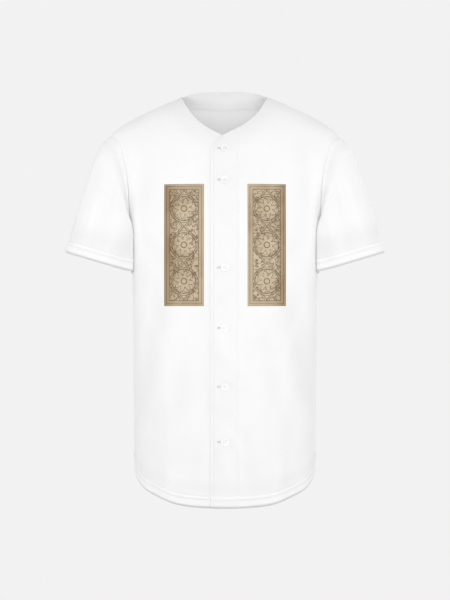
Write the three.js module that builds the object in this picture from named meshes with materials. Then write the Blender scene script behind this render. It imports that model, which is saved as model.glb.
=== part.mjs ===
// Baseball jersey with short sleeves, a V neck, a button front and a curved hem, filled out as if worn.
// Millimetres, +Z up. The front faces -Y and the wearer's left is +X. The origin lies midway between
// the two neck points, where the shoulder seams meet the neckline.
import * as THREE from "three";

// Cloth and gaps
const CLOTH = 1.6;
const HEM_CLOTH = 2.8;
const HEM_HEIGHT = 20;
const SEAM_GAP = 0.3;
const LAP_GAP = 0.5;

// Heights of the main points of the cut
const CENTRE_HEM = -745;
const SIDE_HEM = -675;
const UNDERARM = -257;
const UNDERARM_AT_FRONT = -289;
const UNDERARM_AT_BACK = -280;
const SHOULDER_TIP = -74;
const NECK_POINT = 0;
const BACK_NECK = 18;
const TIP_AT_PLACKET = -112;
const TIP_AT_BACK = -100;
const V_BOTTOM = -77;

// Neck, front edge and placket
const NECK_HALF = 81;
const V_X = -3;
const V_SLOPE = 0.535;
const V_CURVE = 36;
const LAP = 23;
const PLACKET_HALF = 26;
const CORNER_RADIUS = 20;
const CORNER_TOP = 12;
const LAP_RAMP_FROM = 30;
const LAP_RAMP = 34;
const PLACKET_CLOTH = 1.2;
const FACING_CLOTH = 1.2;
const FACING_HEIGHT = 37;
const FACING_AT_SHOULDER = -16.5;

// Hem curve, as shares of the quarter turn from the centre to the side seam
const HEM_START = 0.3;
const HEM_POWER = 1.2;
const HEM_ROUND = 0.07;
const BACK_NECK_POWER = 3.5;

// Form of the filled body: one level section for each row, half its width and its two depths
const SECTIONS = [
  { height: -800, half: 166, front: 121, back: 113, power: 2.5 },
  { height: -745, half: 167, front: 121, back: 112, power: 2.5 },
  { height: -600, half: 168.5, front: 121, back: 104, power: 2.5 },
  { height: -430, half: 170, front: 123, back: 100, power: 2.45 },
  { height: -330, half: 170, front: 124, back: 106, power: 2.4 },
  { height: -257, half: 170, front: 122, back: 112, power: 2.3 },
  { height: -231, half: 178, front: 119, back: 114, power: 2.25 },
  { height: -208, half: 188, front: 116, back: 115, power: 2.2 },
  { height: -170, half: 205, front: 110, back: 114, power: 2.1 },
  { height: -134, half: 217, front: 101, back: 109, power: 2.1 },
  { height: -100, half: 222, front: 90, back: 101, power: 2.1 },
  { height: -74, half: 214, front: 80, back: 93, power: 2.1 },
  { height: -57, half: 197, front: 72, back: 87, power: 2.1 },
  { height: -35, half: 159, front: 61, back: 77, power: 2.1 },
  { height: -12, half: 110, front: 47, back: 67, power: 2.1 },
  { height: 0, half: NECK_HALF, front: 40, back: 62, power: 2.1 },
  { height: 8, half: 77, front: 38, back: 60, power: 2.1 },
  { height: 20, half: 75, front: 37, back: 58, power: 2.1 },
];

// Armhole seam: how far round the section it lies, by the swing from the underarm up to the shoulder tip
const ARMHOLE = [
  { swing: 0, turn: 90 },
  { swing: 25, turn: 80.5 },
  { swing: 45, turn: 73 },
  { swing: 62, turn: 66 },
  { swing: 87, turn: 58 },
  { swing: 110, turn: 55.5 },
  { swing: 140, turn: 58 },
  { swing: 155, turn: 65 },
  { swing: 168, turn: 77 },
  { swing: 180, turn: 90 },
];

// Folds of the body: a soft trough or ridge along a line from one point to another, seen from the front
const FRONT = -1;
const BACK = 1;
const FOLDS = [
  { face: FRONT, x1: 118, z1: -360, x2: 158, z2: -565, width: 25, depth: -8 },
  { face: FRONT, x1: -116, z1: -350, x2: -157, z2: -580, width: 23, depth: -7 },
  { face: FRONT, x1: 163, z1: -112, x2: 166, z2: -180, width: 13, depth: 3.5 },
  { face: FRONT, x1: -163, z1: -112, x2: -166, z2: -175, width: 13, depth: 3.5 },
  { face: FRONT, x1: 150, z1: -230, x2: 128, z2: -350, width: 18, depth: -3 },
  { face: FRONT, x1: -151, z1: -235, x2: -131, z2: -330, width: 18, depth: -3 },
  { face: FRONT, x1: 96, z1: -520, x2: 84, z2: -735, width: 26, depth: -4.5 },
  { face: FRONT, x1: -88, z1: -540, x2: -97, z2: -735, width: 24, depth: -4 },
  { face: FRONT, x1: 128, z1: -600, x2: 124, z2: -735, width: 22, depth: 3.5 },
  { face: BACK, x1: 4, z1: -300, x2: -6, z2: -640, width: 34, depth: -7 },
  { face: BACK, x1: 92, z1: -270, x2: 122, z2: -560, width: 26, depth: -6 },
  { face: BACK, x1: -96, z1: -280, x2: -118, z2: -590, width: 25, depth: -6 },
  { face: BACK, x1: 158, z1: -120, x2: 160, z2: -200, width: 15, depth: 4 },
  { face: BACK, x1: -158, z1: -120, x2: -160, z2: -195, width: 15, depth: 4 },
  { face: BACK, x1: 62, z1: -560, x2: 74, z2: -735, width: 26, depth: -4 },
  { face: BACK, x1: -58, z1: -540, x2: -66, z2: -735, width: 24, depth: -4 },
];
const FOLD_END = 45;
const FOLDS_FADE_FROM = 66;
const FOLDS_GONE_AT = 86;

// Sleeve: its hem is a flattened ring, tilted up to the outside
const CUFF = { x: 233.5, y: -2, z: -303, out: 66, inner: 69, depth: 60, power: 2.4, tilt: 16.5 };
const SLEEVE_HEART = new THREE.Vector3(205, 0, -190);
const SLEEVE_BULGE = 14.5;
const BULGE_START = 0.07;
const BULGE_FADE = 1.5;
const SLEEVE_TROUGH = 3.5;
const SLEEVE_RIDGE = 2.5;
const TROUGH_AT = 13;
const RIDGE_AT = 30;
const RIDGE_ROW = 2;
const SHORT_LINE = 60;
const SLEEVE_CLEAR = 2.5;
const CLEAR_SLOPE = 0.2;
const CLEAR_UP_TO = UNDERARM + 35;

// Buttons down the placket
const BUTTON_HEIGHTS = [-102, -160, -318, -426, -531, -630];
const BUTTON = { radius: 7.4, thick: 2.6, hole: 0.95, holeOut: 1.9, seat: 0.45 };

// Grid of the panels: the row numbers where the hem band, underarm, tip, facing and neckline lie
const ROW = { hem: 1, underarm: 11, tip: 23, facing: 26, neck: 28 };
const NECK_SPREAD = 1.5;
const PLACKET_COLUMNS = 3;
const FRONT_COLUMNS = 12;
const BACK_COLUMNS = 12;
const SLEEVE_ROWS = 8;
// The rows that pass the shoulder tip bow up, since the armhole and shoulder seam meet square there.
const TIP_LIFT = 13;
const LIFT_ROWS_BELOW = 6;
const LIFT_ROWS_ABOVE = 3;

// Colours
const COTTON_WHITE = 0xf4f4f5;
const BUTTON_WHITE = 0xfafafa;

const HALF_TURN = 180;
const RIGHT_ANGLE = Math.PI / 2;
const radians = THREE.MathUtils.degToRad;
const mix = THREE.MathUtils.lerp;
const ease = THREE.MathUtils.smoothstep;

// A value of a table at a place between its rows, on a smooth curve through them.
function lookUp(table, key, place, column) {
  const last = table.length - 1;
  let i = table.findIndex((row) => row[key] > place) - 1;
  if (i < 0) i = place <= table[0][key] ? 0 : last - 1;
  const slope = (k) => {
    const a = table[Math.max(k - 1, 0)];
    const b = table[Math.min(k + 1, last)];
    return (b[column] - a[column]) / (b[key] - a[key]);
  };
  const [a, b] = [table[i], table[i + 1]];
  const span = b[key] - a[key];
  const t = THREE.MathUtils.clamp((place - a[key]) / span, 0, 1);
  const [t2, t3] = [t * t, t * t * t];
  return (
    (2 * t3 - 3 * t2 + 1) * a[column] +
    (t3 - 2 * t2 + t) * span * slope(i) +
    (3 * t2 - 2 * t3) * b[column] +
    (t3 - t2) * span * slope(i + 1)
  );
}

const section = (height, column) => lookUp(SECTIONS, "height", height, column);
const depthOf = (face, height) => section(height, face === FRONT ? "front" : "back");

// The turn round a section, 0 at its middle and a right angle at its side, for a distance from the middle.
function turnAt(x, height) {
  const power = section(height, "power");
  const share = Math.min(Math.abs(x) / section(height, "half"), 1);
  return Math.sign(x) * Math.atan2(share, (1 - share ** power) ** (1 / power));
}

// Point of the smooth form. side is 1 for the wearer's left and -1 for the right.
function smoothPoint(face, side, turn, height) {
  const power = section(height, "power");
  const [s, c] = [Math.abs(Math.sin(turn)), Math.abs(Math.cos(turn))];
  const reach = (s ** power + c ** power) ** (-1 / power);
  const x = side * Math.sign(turn) * section(height, "half") * s * reach;
  const y = face * Math.sign(Math.cos(turn)) * depthOf(face, height) * c * reach;
  return new THREE.Vector3(x, y, height);
}

function normalOf(pointAt, face, side, turn, height) {
  const step = 1e-3;
  const across = pointAt(face, side, turn + step, height).sub(pointAt(face, side, turn - step, height));
  const up = pointAt(face, side, turn, height + 1).sub(pointAt(face, side, turn, height - 1));
  return across.cross(up).multiplyScalar(-face * side).normalize();
}

// How far the folds push the cloth out at a place, fading towards the side and shoulder seams.
function foldAt(face, x, turn, height) {
  let push = 0;
  for (const f of FOLDS) {
    if (f.face !== face) continue;
    const length = Math.hypot(f.x2 - f.x1, f.z2 - f.z1);
    const [ux, uz] = [(f.x2 - f.x1) / length, (f.z2 - f.z1) / length];
    const along = (x - f.x1) * ux + (height - f.z1) * uz;
    const off = (x - f.x1) * uz - (height - f.z1) * ux;
    const ends = ease(along, -FOLD_END, FOLD_END) * (1 - ease(along, length - FOLD_END, length + FOLD_END));
    push += f.depth * ends * Math.exp(-((off / f.width) ** 2));
  }
  return push * (1 - ease(Math.abs(turn), radians(FOLDS_FADE_FROM), radians(FOLDS_GONE_AT)));
}

function clothPoint(face, side, turn, height) {
  const p = smoothPoint(face, side, turn, height);
  const push = foldAt(face, p.x, turn, height);
  return p.addScaledVector(normalOf(smoothPoint, face, side, turn, height), push);
}

// Outlines of the panels, as a turn and a height
const place = (turn, height) => ({ turn, height });
const atX = (x, height) => place(turnAt(x, height), height);

function hemHeight(turn) {
  const share = Math.max(0, (Math.abs(turn) / RIGHT_ANGLE - HEM_START) / (1 - HEM_START));
  return CENTRE_HEM + (SIDE_HEM - CENTRE_HEM) * (1 - Math.hypot(1 - share ** HEM_POWER, HEM_ROUND));
}

// Front neckline: the height at a distance x from the middle, where v is the x of the bottom of the V.
const neckHeight = (x, v) =>
  Math.min(NECK_POINT, V_BOTTOM + V_SLOPE * (x - v) + V_CURVE * (x / NECK_HALF) ** 4);

// The armhole, resampled into steps of equal length from the underarm to the shoulder tip.
function armhole(face) {
  const middle = (UNDERARM + SHOULDER_TIP) / 2;
  const half = (SHOULDER_TIP - UNDERARM) / 2;
  const fine = Array.from({ length: HALF_TURN + 1 }, (_, swing) =>
    place(radians(lookUp(ARMHOLE, "swing", swing, "turn")), middle - half * Math.cos(radians(swing))),
  );
  const points = fine.map((p) => clothPoint(face, 1, p.turn, p.height));
  const run = [0];
  points.slice(1).forEach((p, i) => run.push(run[i] + p.distanceTo(points[i])));
  const steps = ROW.tip - ROW.underarm;
  return Array.from({ length: steps + 1 }, (_, k) => {
    const wanted = (run.at(-1) * k) / steps;
    const i = Math.max(1, run.findIndex((r) => r >= wanted - 1e-6));
    const t = (wanted - run[i - 1]) / (run[i] - run[i - 1]);
    return place(mix(fine[i - 1].turn, fine[i].turn, t), mix(fine[i - 1].height, fine[i].height, t));
  });
}
const ARMHOLES = { [FRONT]: armhole(FRONT), [BACK]: armhole(BACK) };

// Outer edge of a panel, row by row: side seam, armhole and shoulder seam.
function outerEdge(face, row) {
  const low = hemHeight(RIGHT_ANGLE);
  if (row === 0) return place(RIGHT_ANGLE, low);
  if (row <= ROW.underarm) {
    const share = (row - ROW.hem) / (ROW.underarm - ROW.hem);
    return place(RIGHT_ANGLE, mix(low + HEM_HEIGHT, UNDERARM, share));
  }
  if (row <= ROW.tip) return ARMHOLES[face][row - ROW.underarm];
  const height =
    row <= ROW.facing
      ? mix(SHOULDER_TIP, FACING_AT_SHOULDER, (row - ROW.tip) / (ROW.facing - ROW.tip))
      : mix(FACING_AT_SHOULDER, NECK_POINT, (row - ROW.facing) / (ROW.neck - ROW.facing));
  return place(RIGHT_ANGLE, height);
}

// Heights of a line up the front or back, from its heights at the underarm, tip and top rows.
function upright(row, underarm, tip, top) {
  if (row === 0) return CENTRE_HEM;
  if (row <= ROW.underarm) {
    return mix(CENTRE_HEM + HEM_HEIGHT, underarm, (row - ROW.hem) / (ROW.underarm - ROW.hem));
  }
  if (row <= ROW.tip) return mix(underarm, tip, (row - ROW.underarm) / (ROW.tip - ROW.underarm));
  return mix(tip, top, (row - ROW.tip) / (ROW.neck - ROW.tip));
}

// Free edge of a front: straight up, then round a corner to the bottom of the V at x = v.
function freeEdge(row, v) {
  const x = v - LAP;
  const cornerBase = V_BOTTOM - CORNER_TOP - CORNER_RADIUS;
  if (row <= ROW.tip) return atX(x, upright(row, UNDERARM_AT_FRONT, cornerBase, V_BOTTOM));
  if (row === ROW.neck) return atX(v, V_BOTTOM);
  const bend = radians((90 * (row - ROW.tip)) / (ROW.neck - 1 - ROW.tip));
  const over = CORNER_RADIUS * (1 - Math.cos(bend));
  return atX(x + over, cornerBase + CORNER_RADIUS * Math.sin(bend));
}

// A patch of cloth between four outlines, in rows and columns. The hem's curve fades out up to the
// underarm, and the neckline's curve down to the shoulder tip.
function patch(left, right, bottom, top, columns, lift = 0) {
  const liftAt = (row) =>
    lift * Math.max(0, 1 - Math.abs(row - ROW.tip) / (row > ROW.tip ? LIFT_ROWS_ABOVE : LIFT_ROWS_BELOW));
  const blend = (row, u) => {
    const [a, b] = [left(row), right(row)];
    return place(mix(a.turn, b.turn, u), mix(a.height, b.height, u));
  };
  return Array.from({ length: ROW.neck + 1 }, (_, row) =>
    Array.from({ length: columns + 1 }, (_, column) => {
      const u = column / columns;
      const spot = blend(row, u);
      const nearHem = 1 - ease(row, ROW.hem, ROW.underarm);
      const nearNeck = ease(row, ROW.tip, ROW.neck);
      const [hem, hemLine] = [bottom(u), blend(0, u)];
      const [neck, neckLine] = [top(u), blend(ROW.neck, u)];
      const bow = 4 * u * (1 - u) * liftAt(row);
      const shifted = (key) =>
        spot[key] + nearHem * (hem[key] - hemLine[key]) + nearNeck * (neck[key] - neckLine[key]);
      return place(shifted("turn"), shifted("height") + bow);
    }),
  );
}

const joinPatches = (a, b) => a.map((row, i) => [...row, ...b[i].slice(1)]);

// Places of a front panel, from its free edge to its side: first the part under the placket, then the rest.
function frontPlaces(v) {
  const bandTop = neckHeight(PLACKET_HALF, v);
  const band = (row) => atX(PLACKET_HALF, upright(row, UNDERARM_AT_FRONT, TIP_AT_PLACKET, bandTop));
  const low = (from, to) => (u) => {
    const turn = mix(from, to, u);
    return place(turn, hemHeight(turn));
  };
  const neck = (from, to) => (u) => {
    const x = mix(from, to, u);
    return atX(x, neckHeight(x, v));
  };
  const bandTurn = band(0).turn;
  const lap = patch(
    (row) => freeEdge(row, v),
    band,
    low(freeEdge(0, v).turn, bandTurn),
    neck(v, PLACKET_HALF),
    PLACKET_COLUMNS,
  );
  // The neckline turns fast near the neck point, so its last steps are short.
  const neckRound = (u) => neck(PLACKET_HALF, NECK_HALF)(1 - (1 - u) ** NECK_SPREAD);
  const side = (row) => outerEdge(FRONT, row);
  const rest = patch(band, side, low(bandTurn, RIGHT_ANGLE), neckRound, FRONT_COLUMNS, TIP_LIFT);
  return joinPatches(lap, rest);
}

// Places of one half of the back, from its middle to its side.
function halfBackPlaces() {
  const neck = (u) => {
    const x = NECK_HALF * (1 - (1 - u) ** NECK_SPREAD);
    const height = BACK_NECK * (1 - (x / NECK_HALF) ** BACK_NECK_POWER);
    return u === 1 ? place(RIGHT_ANGLE, NECK_POINT) : atX(x, height);
  };
  const low = (u) => place(u * RIGHT_ANGLE, hemHeight(u * RIGHT_ANGLE));
  const middle = (row) => {
    const facing = BACK_NECK - FACING_HEIGHT;
    if (row <= ROW.tip) return place(0, upright(row, UNDERARM_AT_BACK, TIP_AT_BACK, BACK_NECK));
    if (row >= ROW.facing) {
      return place(0, mix(facing, BACK_NECK, (row - ROW.facing) / (ROW.neck - ROW.facing)));
    }
    return place(0, mix(TIP_AT_BACK, facing, (row - ROW.tip) / (ROW.facing - ROW.tip)));
  };
  return patch(middle, (row) => outerEdge(BACK, row), low, neck, BACK_COLUMNS, TIP_LIFT);
}

const thicknessOf = (row) => (row <= ROW.hem ? HEM_CLOTH : CLOTH);

// A point of a panel and the way its wall goes in from there. At the side and shoulder seams the wall
// stands square to the seam, and the edge keeps half the seam gap from the middle plane.
function panelPoint(face, side, spot) {
  const point = clothPoint(face, side, spot.turn, spot.height);
  const normal = normalOf(clothPoint, face, side, spot.turn, spot.height);
  if (spot.turn > RIGHT_ANGLE - 1e-4) {
    point.y = 0;
    normal.setY(0).normalize();
  }
  point.y += (face * SEAM_GAP) / 2;
  return { point, normal };
}

// A closed wall from a grid of outer and inner points. ring joins the last column to the first.
function wall(rows, ring = false) {
  const [high, wide] = [rows.length, rows[0].length];
  const outer = (r, c) => r * wide + (c % wide);
  const inner = (r, c) => high * wide + outer(r, c);
  const faces = [];
  const quad = (a, b, c, d) => faces.push(a, b, c, a, c, d);
  for (let r = 0; r < high - 1; r += 1) {
    for (let c = 0; c < (ring ? wide : wide - 1); c += 1) {
      quad(outer(r, c), outer(r, c + 1), outer(r + 1, c + 1), outer(r + 1, c));
      quad(inner(r, c), inner(r + 1, c), inner(r + 1, c + 1), inner(r, c + 1));
    }
    if (!ring) {
      quad(outer(r + 1, 0), inner(r + 1, 0), inner(r, 0), outer(r, 0));
      quad(outer(r, wide - 1), inner(r, wide - 1), inner(r + 1, wide - 1), outer(r + 1, wide - 1));
    }
  }
  for (let c = 0; c < (ring ? wide : wide - 1); c += 1) {
    quad(outer(0, c), inner(0, c), inner(0, c + 1), outer(0, c + 1));
    quad(outer(high - 1, c + 1), inner(high - 1, c + 1), inner(high - 1, c), outer(high - 1, c));
  }
  const points = ["out", "inn"].flatMap((layer) => rows.flat().flatMap((p) => p[layer].toArray()));
  const geometry = new THREE.BufferGeometry();
  geometry.setAttribute("position", new THREE.Float32BufferAttribute(points, 3));
  geometry.setIndex(volumeOf(points, faces) < 0 ? faces.reverse() : faces);
  geometry.computeVertexNormals();
  return geometry;
}

function volumeOf(points, faces) {
  const at = (i) => new THREE.Vector3().fromArray(points, 3 * faces[i]);
  let six = 0;
  for (let i = 0; i < faces.length; i += 3) six += at(i).dot(at(i + 1).cross(at(i + 2)));
  return six / 6;
}

// Turns places into wall points. shift gives, for a place, how far its outer face is moved out from the
// form, and thick how far the inner face lies behind that.
function layer(face, side, places, shift, thick) {
  return places.map((line, row) =>
    line.map((spot, column) => {
      const { point, normal } = panelPoint(face, side, spot);
      const armholeSpot = row >= ROW.underarm && row <= ROW.tip && column === line.length - 1;
      const inward = armholeSpot ? seamFrame(face, side, row - ROW.underarm).body : normal;
      const out = point.clone().addScaledVector(inward, shift(spot, row));
      return { out, inn: out.clone().addScaledVector(inward, -thick(row)) };
    }),
  );
}

// Where the sleeve's hem lies, from the inner side (0) round to the outer side (pi).
function cuffPoint(face, side, bend) {
  const [s, c] = [Math.sin(bend), Math.cos(bend)];
  const reach = (Math.abs(s) ** CUFF.power + Math.abs(c) ** CUFF.power) ** (-1 / CUFF.power);
  const across = -c * reach * (c > 0 ? CUFF.inner : CUFF.out);
  return new THREE.Vector3(
    side * (CUFF.x + across * Math.cos(radians(CUFF.tilt))),
    CUFF.y + face * s * reach * CUFF.depth,
    CUFF.z + across * Math.sin(radians(CUFF.tilt)),
  );
}

// Along the armhole the two walls share one way in where they run on smoothly, and each keeps its own
// where they meet in a valley. The limits are the cosine of the angle between the two.
const MITRE_FROM = 0.2;
const MITRE_FULL = 0.7;
const INSIDE_TURN = 0.85;
const INSIDE_SHIFT = 10;

// The armhole seam at a step: its point, the ways in for the walls of body and sleeve, and the cuff point.
function seamFrame(face, side, step) {
  const spots = ARMHOLES[face];
  const last = spots.length - 1;
  const at = (k) => clothPoint(face, side, spots[k].turn, spots[k].height);
  const point = at(step);
  const along = at(Math.min(step + 1, last)).sub(at(Math.max(step - 1, 0)));
  if (step === 0 || step === last) along.set(0, 1, 0);
  along.normalize();
  const bodyNormal = normalOf(clothPoint, face, side, spots[step].turn, spots[step].height);
  if (step === 0 || step === last) bodyNormal.setY(0).normalize();
  const cuff = cuffPoint(face, side, (Math.PI * step) / last);
  const away = cuff.clone().sub(point);
  away.addScaledVector(along, -away.dot(along)).normalize();
  const intoBody = along.clone().cross(bodyNormal).normalize();
  const lift = mix(-INSIDE_SHIFT, INSIDE_SHIFT / 2, step / last);
  const inside = clothPoint(face, side, INSIDE_TURN * spots[step].turn, point.z + lift).sub(point);
  if (intoBody.dot(inside) < 0) intoBody.negate();
  const sleeveNormal = along.clone().cross(away).normalize();
  const heart = SLEEVE_HEART.clone().setX(side * SLEEVE_HEART.x);
  if (sleeveNormal.dot(point.clone().sub(heart)) < 0) sleeveNormal.negate();
  const middle = bodyNormal.clone().add(sleeveNormal).normalize();
  const share = ease(bodyNormal.dot(sleeveNormal), MITRE_FROM, MITRE_FULL);
  return {
    point,
    cuff,
    away: away.clone().sub(intoBody).normalize(),
    body: bodyNormal.clone().lerp(middle, share).normalize(),
    sleeve: sleeveNormal.clone().lerp(middle, share).normalize(),
    outward: sleeveNormal,
  };
}

// Keeps a point of the sleeve clear of the side of the body, below the underarm.
function clearOfBody(point, side, clear) {
  if (point.z > CLEAR_UP_TO) return;
  const depth = depthOf(point.y < 0 ? FRONT : BACK, point.z);
  const share = Math.min(Math.abs(point.y) / depth, 1);
  const power = section(point.z, "power");
  const bodyX = section(point.z, "half") * (1 - share ** power) ** (1 / power);
  point.x = side * Math.max(side * point.x, bodyX + clear);
}

// One line of the sleeve from the armhole to the hem.
function sleeveLine(face, side, step) {
  const frame = seamFrame(face, side, step);
  const start = frame.point.clone().addScaledVector(frame.away, SEAM_GAP);
  const length = start.distanceTo(frame.cuff);
  const bend = (Math.PI * step) / (ROW.tip - ROW.underarm);
  const [top, flank] = [Math.sin(bend / 2) ** 2, Math.sin(bend)];
  const hemTop = length - HEM_HEIGHT;
  const near = Math.min(1, hemTop / SHORT_LINE);
  return Array.from({ length: SLEEVE_ROWS + 1 }, (_, row) => {
    let run = mix(RIDGE_AT * near, hemTop, (row - RIDGE_ROW) / (SLEEVE_ROWS - 1 - RIDGE_ROW));
    if (row < RIDGE_ROW) run = row * TROUGH_AT * near;
    if (row === SLEEVE_ROWS) run = length;
    const t = run / length;
    const point = start.clone().lerp(frame.cuff, t);
    const rise = SLEEVE_BULGE * top * (1 - t ** BULGE_FADE) * (1 - Math.exp(-t / BULGE_START));
    const crease = [0, -SLEEVE_TROUGH, SLEEVE_RIDGE][row] ?? 0;
    if (row > 0) {
      point.addScaledVector(frame.outward, rise + crease * flank * near);
      clearOfBody(point, side, Math.min(SLEEVE_CLEAR, SEAM_GAP + CLEAR_SLOPE * run));
    }
    return { point, inward: row === 0 ? frame.sleeve : null };
  });
}

// Sleeve: a tube from the armhole to its turned hem.
function sleeve(side) {
  const steps = ROW.tip - ROW.underarm;
  const front = Array.from({ length: steps + 1 }, (_, k) => sleeveLine(FRONT, side, k));
  const back = Array.from({ length: steps - 1 }, (_, k) => sleeveLine(BACK, side, steps - 1 - k));
  const lines = [...front, ...back];
  const count = lines.length;
  const rows = Array.from({ length: SLEEVE_ROWS + 1 }, (_, row) => {
    const centre = new THREE.Vector3();
    lines.forEach((line) => centre.addScaledVector(line[row].point, 1 / count));
    return lines.map((line, k) => {
      const { point, inward } = line[row];
      const round = lines[(k + 1) % count][row].point.clone().sub(lines[(k + count - 1) % count][row].point);
      const down = line[Math.min(row + 1, SLEEVE_ROWS)].point.clone().sub(line[Math.max(row - 1, 0)].point);
      const normal = round.cross(down).normalize();
      if (normal.dot(point.clone().sub(centre)) < 0) normal.negate();
      const thick = row >= SLEEVE_ROWS - 1 ? HEM_CLOTH : CLOTH;
      return { out: point, inn: point.clone().addScaledVector(inward ?? normal, -thick) };
    });
  });
  return wall(rows, true);
}

// Fronts: the left one laps over the right one, which dips under it by its own thickness.
const overPlaces = frontPlaces(V_X);
const underPlaces = frontPlaces(-V_X);

function leftFront() {
  return wall(layer(FRONT, 1, overPlaces, () => 0, thicknessOf));
}

function rightFront() {
  const dip = (spot, row) => {
    const x = smoothPoint(FRONT, 1, spot.turn, spot.height).x;
    const under = 1 - ease(x, LAP_RAMP_FROM, LAP_RAMP_FROM + LAP_RAMP);
    return -(thicknessOf(row) + LAP_GAP) * under;
  };
  return wall(layer(FRONT, -1, underPlaces, dip, thicknessOf));
}

// Placket band: the left front's own points beside its free edge, moved out.
function placket() {
  const band = overPlaces.map((line) => line.slice(0, PLACKET_COLUMNS + 1));
  return wall(layer(FRONT, 1, band, () => PLACKET_CLOTH + SEAM_GAP, () => PLACKET_CLOTH));
}

// Back: two mirrored halves in one piece.
const backHalf = halfBackPlaces();

function backRows(fromRow, shift, thick) {
  const halves = [-1, 1].map((side) => layer(BACK, side, backHalf, shift, thick));
  const rows = halves[0].map((line, row) => [...line.slice(1).reverse(), ...halves[1][row]]);
  return rows.slice(fromRow);
}

const back = () => wall(backRows(0, () => 0, thicknessOf));

// Facing inside the back neck: the back's top rows, moved in.
const backNeckFacing = () => wall(backRows(ROW.facing, () => -(CLOTH + SEAM_GAP), () => FACING_CLOTH));

// Button with four sewing holes, seated on the placket and square to it.
function button() {
  const { radius, hole, holeOut } = BUTTON;
  const outline = new THREE.Shape().absarc(0, 0, radius, 0, 2 * Math.PI);
  for (const [x, y] of [[-1, -1], [1, -1], [1, 1], [-1, 1]]) {
    const round = new THREE.Path().absarc(x * holeOut, y * holeOut, hole, 0, 2 * Math.PI, true);
    outline.holes.push(round);
  }
  return new THREE.ExtrudeGeometry(outline, { depth: BUTTON.thick, curveSegments: 5, bevelEnabled: false });
}

function placeButton(mesh, height) {
  const point = clothPoint(FRONT, 1, 0, height);
  const normal = normalOf(clothPoint, FRONT, 1, 1e-6, height);
  const lift = PLACKET_CLOTH + SEAM_GAP + SEAM_GAP / 2 + BUTTON.seat;
  mesh.quaternion.setFromUnitVectors(new THREE.Vector3(0, 0, 1), normal);
  mesh.position.copy(point).addScaledVector(normal, lift);
}

// The jersey
const jersey = new THREE.Group();

function addPiece(name, geometry, color = COTTON_WHITE, roughness = 0.85) {
  const material = new THREE.MeshStandardMaterial({ color, roughness, metalness: 0 });
  const mesh = new THREE.Mesh(geometry, material);
  mesh.name = name;
  jersey.add(mesh);
  return mesh;
}

addPiece("front_left", leftFront());
addPiece("front_right", rightFront());
addPiece("placket", placket());
addPiece("back", back());
addPiece("back_neck_facing", backNeckFacing());
addPiece("sleeve_left", sleeve(1));
addPiece("sleeve_right", sleeve(-1));
BUTTON_HEIGHTS.forEach((height, i) => {
  placeButton(addPiece(`button_${i + 1}`, button(), BUTTON_WHITE, 0.35), height);
});

export default jersey;
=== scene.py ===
import math
from functools import reduce

import bpy
import numpy as np
from mathutils import Matrix, Vector


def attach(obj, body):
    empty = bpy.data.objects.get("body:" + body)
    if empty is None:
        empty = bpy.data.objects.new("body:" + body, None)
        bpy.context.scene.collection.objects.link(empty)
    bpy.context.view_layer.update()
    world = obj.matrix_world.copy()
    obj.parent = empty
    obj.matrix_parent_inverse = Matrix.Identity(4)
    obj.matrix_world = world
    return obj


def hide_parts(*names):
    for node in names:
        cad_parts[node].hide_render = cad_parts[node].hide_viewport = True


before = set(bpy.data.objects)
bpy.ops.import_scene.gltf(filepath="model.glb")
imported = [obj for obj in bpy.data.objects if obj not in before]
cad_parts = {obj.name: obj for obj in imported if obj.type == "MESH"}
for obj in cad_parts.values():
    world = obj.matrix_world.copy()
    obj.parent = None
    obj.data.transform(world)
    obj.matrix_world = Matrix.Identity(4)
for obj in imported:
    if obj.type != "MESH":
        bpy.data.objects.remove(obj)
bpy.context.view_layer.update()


# The back
# One piece of matt white polyester knit. It is sewn to the fronts at the side and shoulder seams and
# to the sleeves at the armholes, and its hem is turned up once and held by a twin-needle seam.
MM = 0.001
FRONT, BACK = -1, 1
LEFT, RIGHT = 1, -1
RIGHT_ANGLE = math.pi / 2

CLOTH = 1.0
SEAM_GAP = 0.02
CENTRE_HEM = -749.9
HEM_HEIGHT = 20
HEM_TOP = CENTRE_HEM + HEM_HEIGHT
HEM_NEEDLES = (16, 22.4)
HEM_RIDGE = 19.2
HEM_LIP = 2.4
UNDERARM = -257
UNDERARM_AT_BACK = -280
SHOULDER_TIP = -74
TIP_AT_BACK = -100
BACK_NECK = 18
NECK_HALF = 81
NECK_NEEDLE = 6.2
SHOULDER_REACH = 130
FACING_HEIGHT = 37
FACING_AT_SHOULDER = -16.5
WHITENESS = 0.925


def table(names, *rows):
    """Rows of numbers as named columns."""
    return {name: np.array(column, float) for name, column in zip(names.split(), zip(*rows))}


FORM = table(
    "height half front back power",
    (-800, 166, 121, 113, 2.5),
    (-745, 167, 121, 112, 2.5),
    (-600, 168.5, 121, 104, 2.5),
    (-430, 170, 123, 100, 2.45),
    (-330, 171.5, 124, 106, 2.4),
    (-257, 174, 122, 112, 2.3),
    (-231, 181, 119, 114, 2.25),
    (-208, 188, 116, 115, 2.2),
    (-170, 205, 110, 114, 2.1),
    (-134, 217, 101, 109, 2.1),
    (-100, 222, 90, 101, 2.1),
    (-74, 214, 80, 93, 2.1),
    (-57, 197, 72, 87, 2.1),
    (-35, 159, 61, 77, 2.1),
    (-12, 110, 47, 67, 2.1),
    (0, 81, 40, 62, 2.1),
    (8, 77, 38, 60, 2.1),
    (20, 75, 37, 58, 2.1),
)

# The armhole's turn round the form, in degrees, by its swing from the underarm up to the shoulder tip
ARMHOLE = table(
    "swing turn",
    (0, 90),
    (25, 80.5),
    (45, 73),
    (62, 66),
    (87, 58),
    (110, 55.5),
    (140, 58),
    (155, 65),
    (168, 77),
    (180, 90),
)

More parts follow.
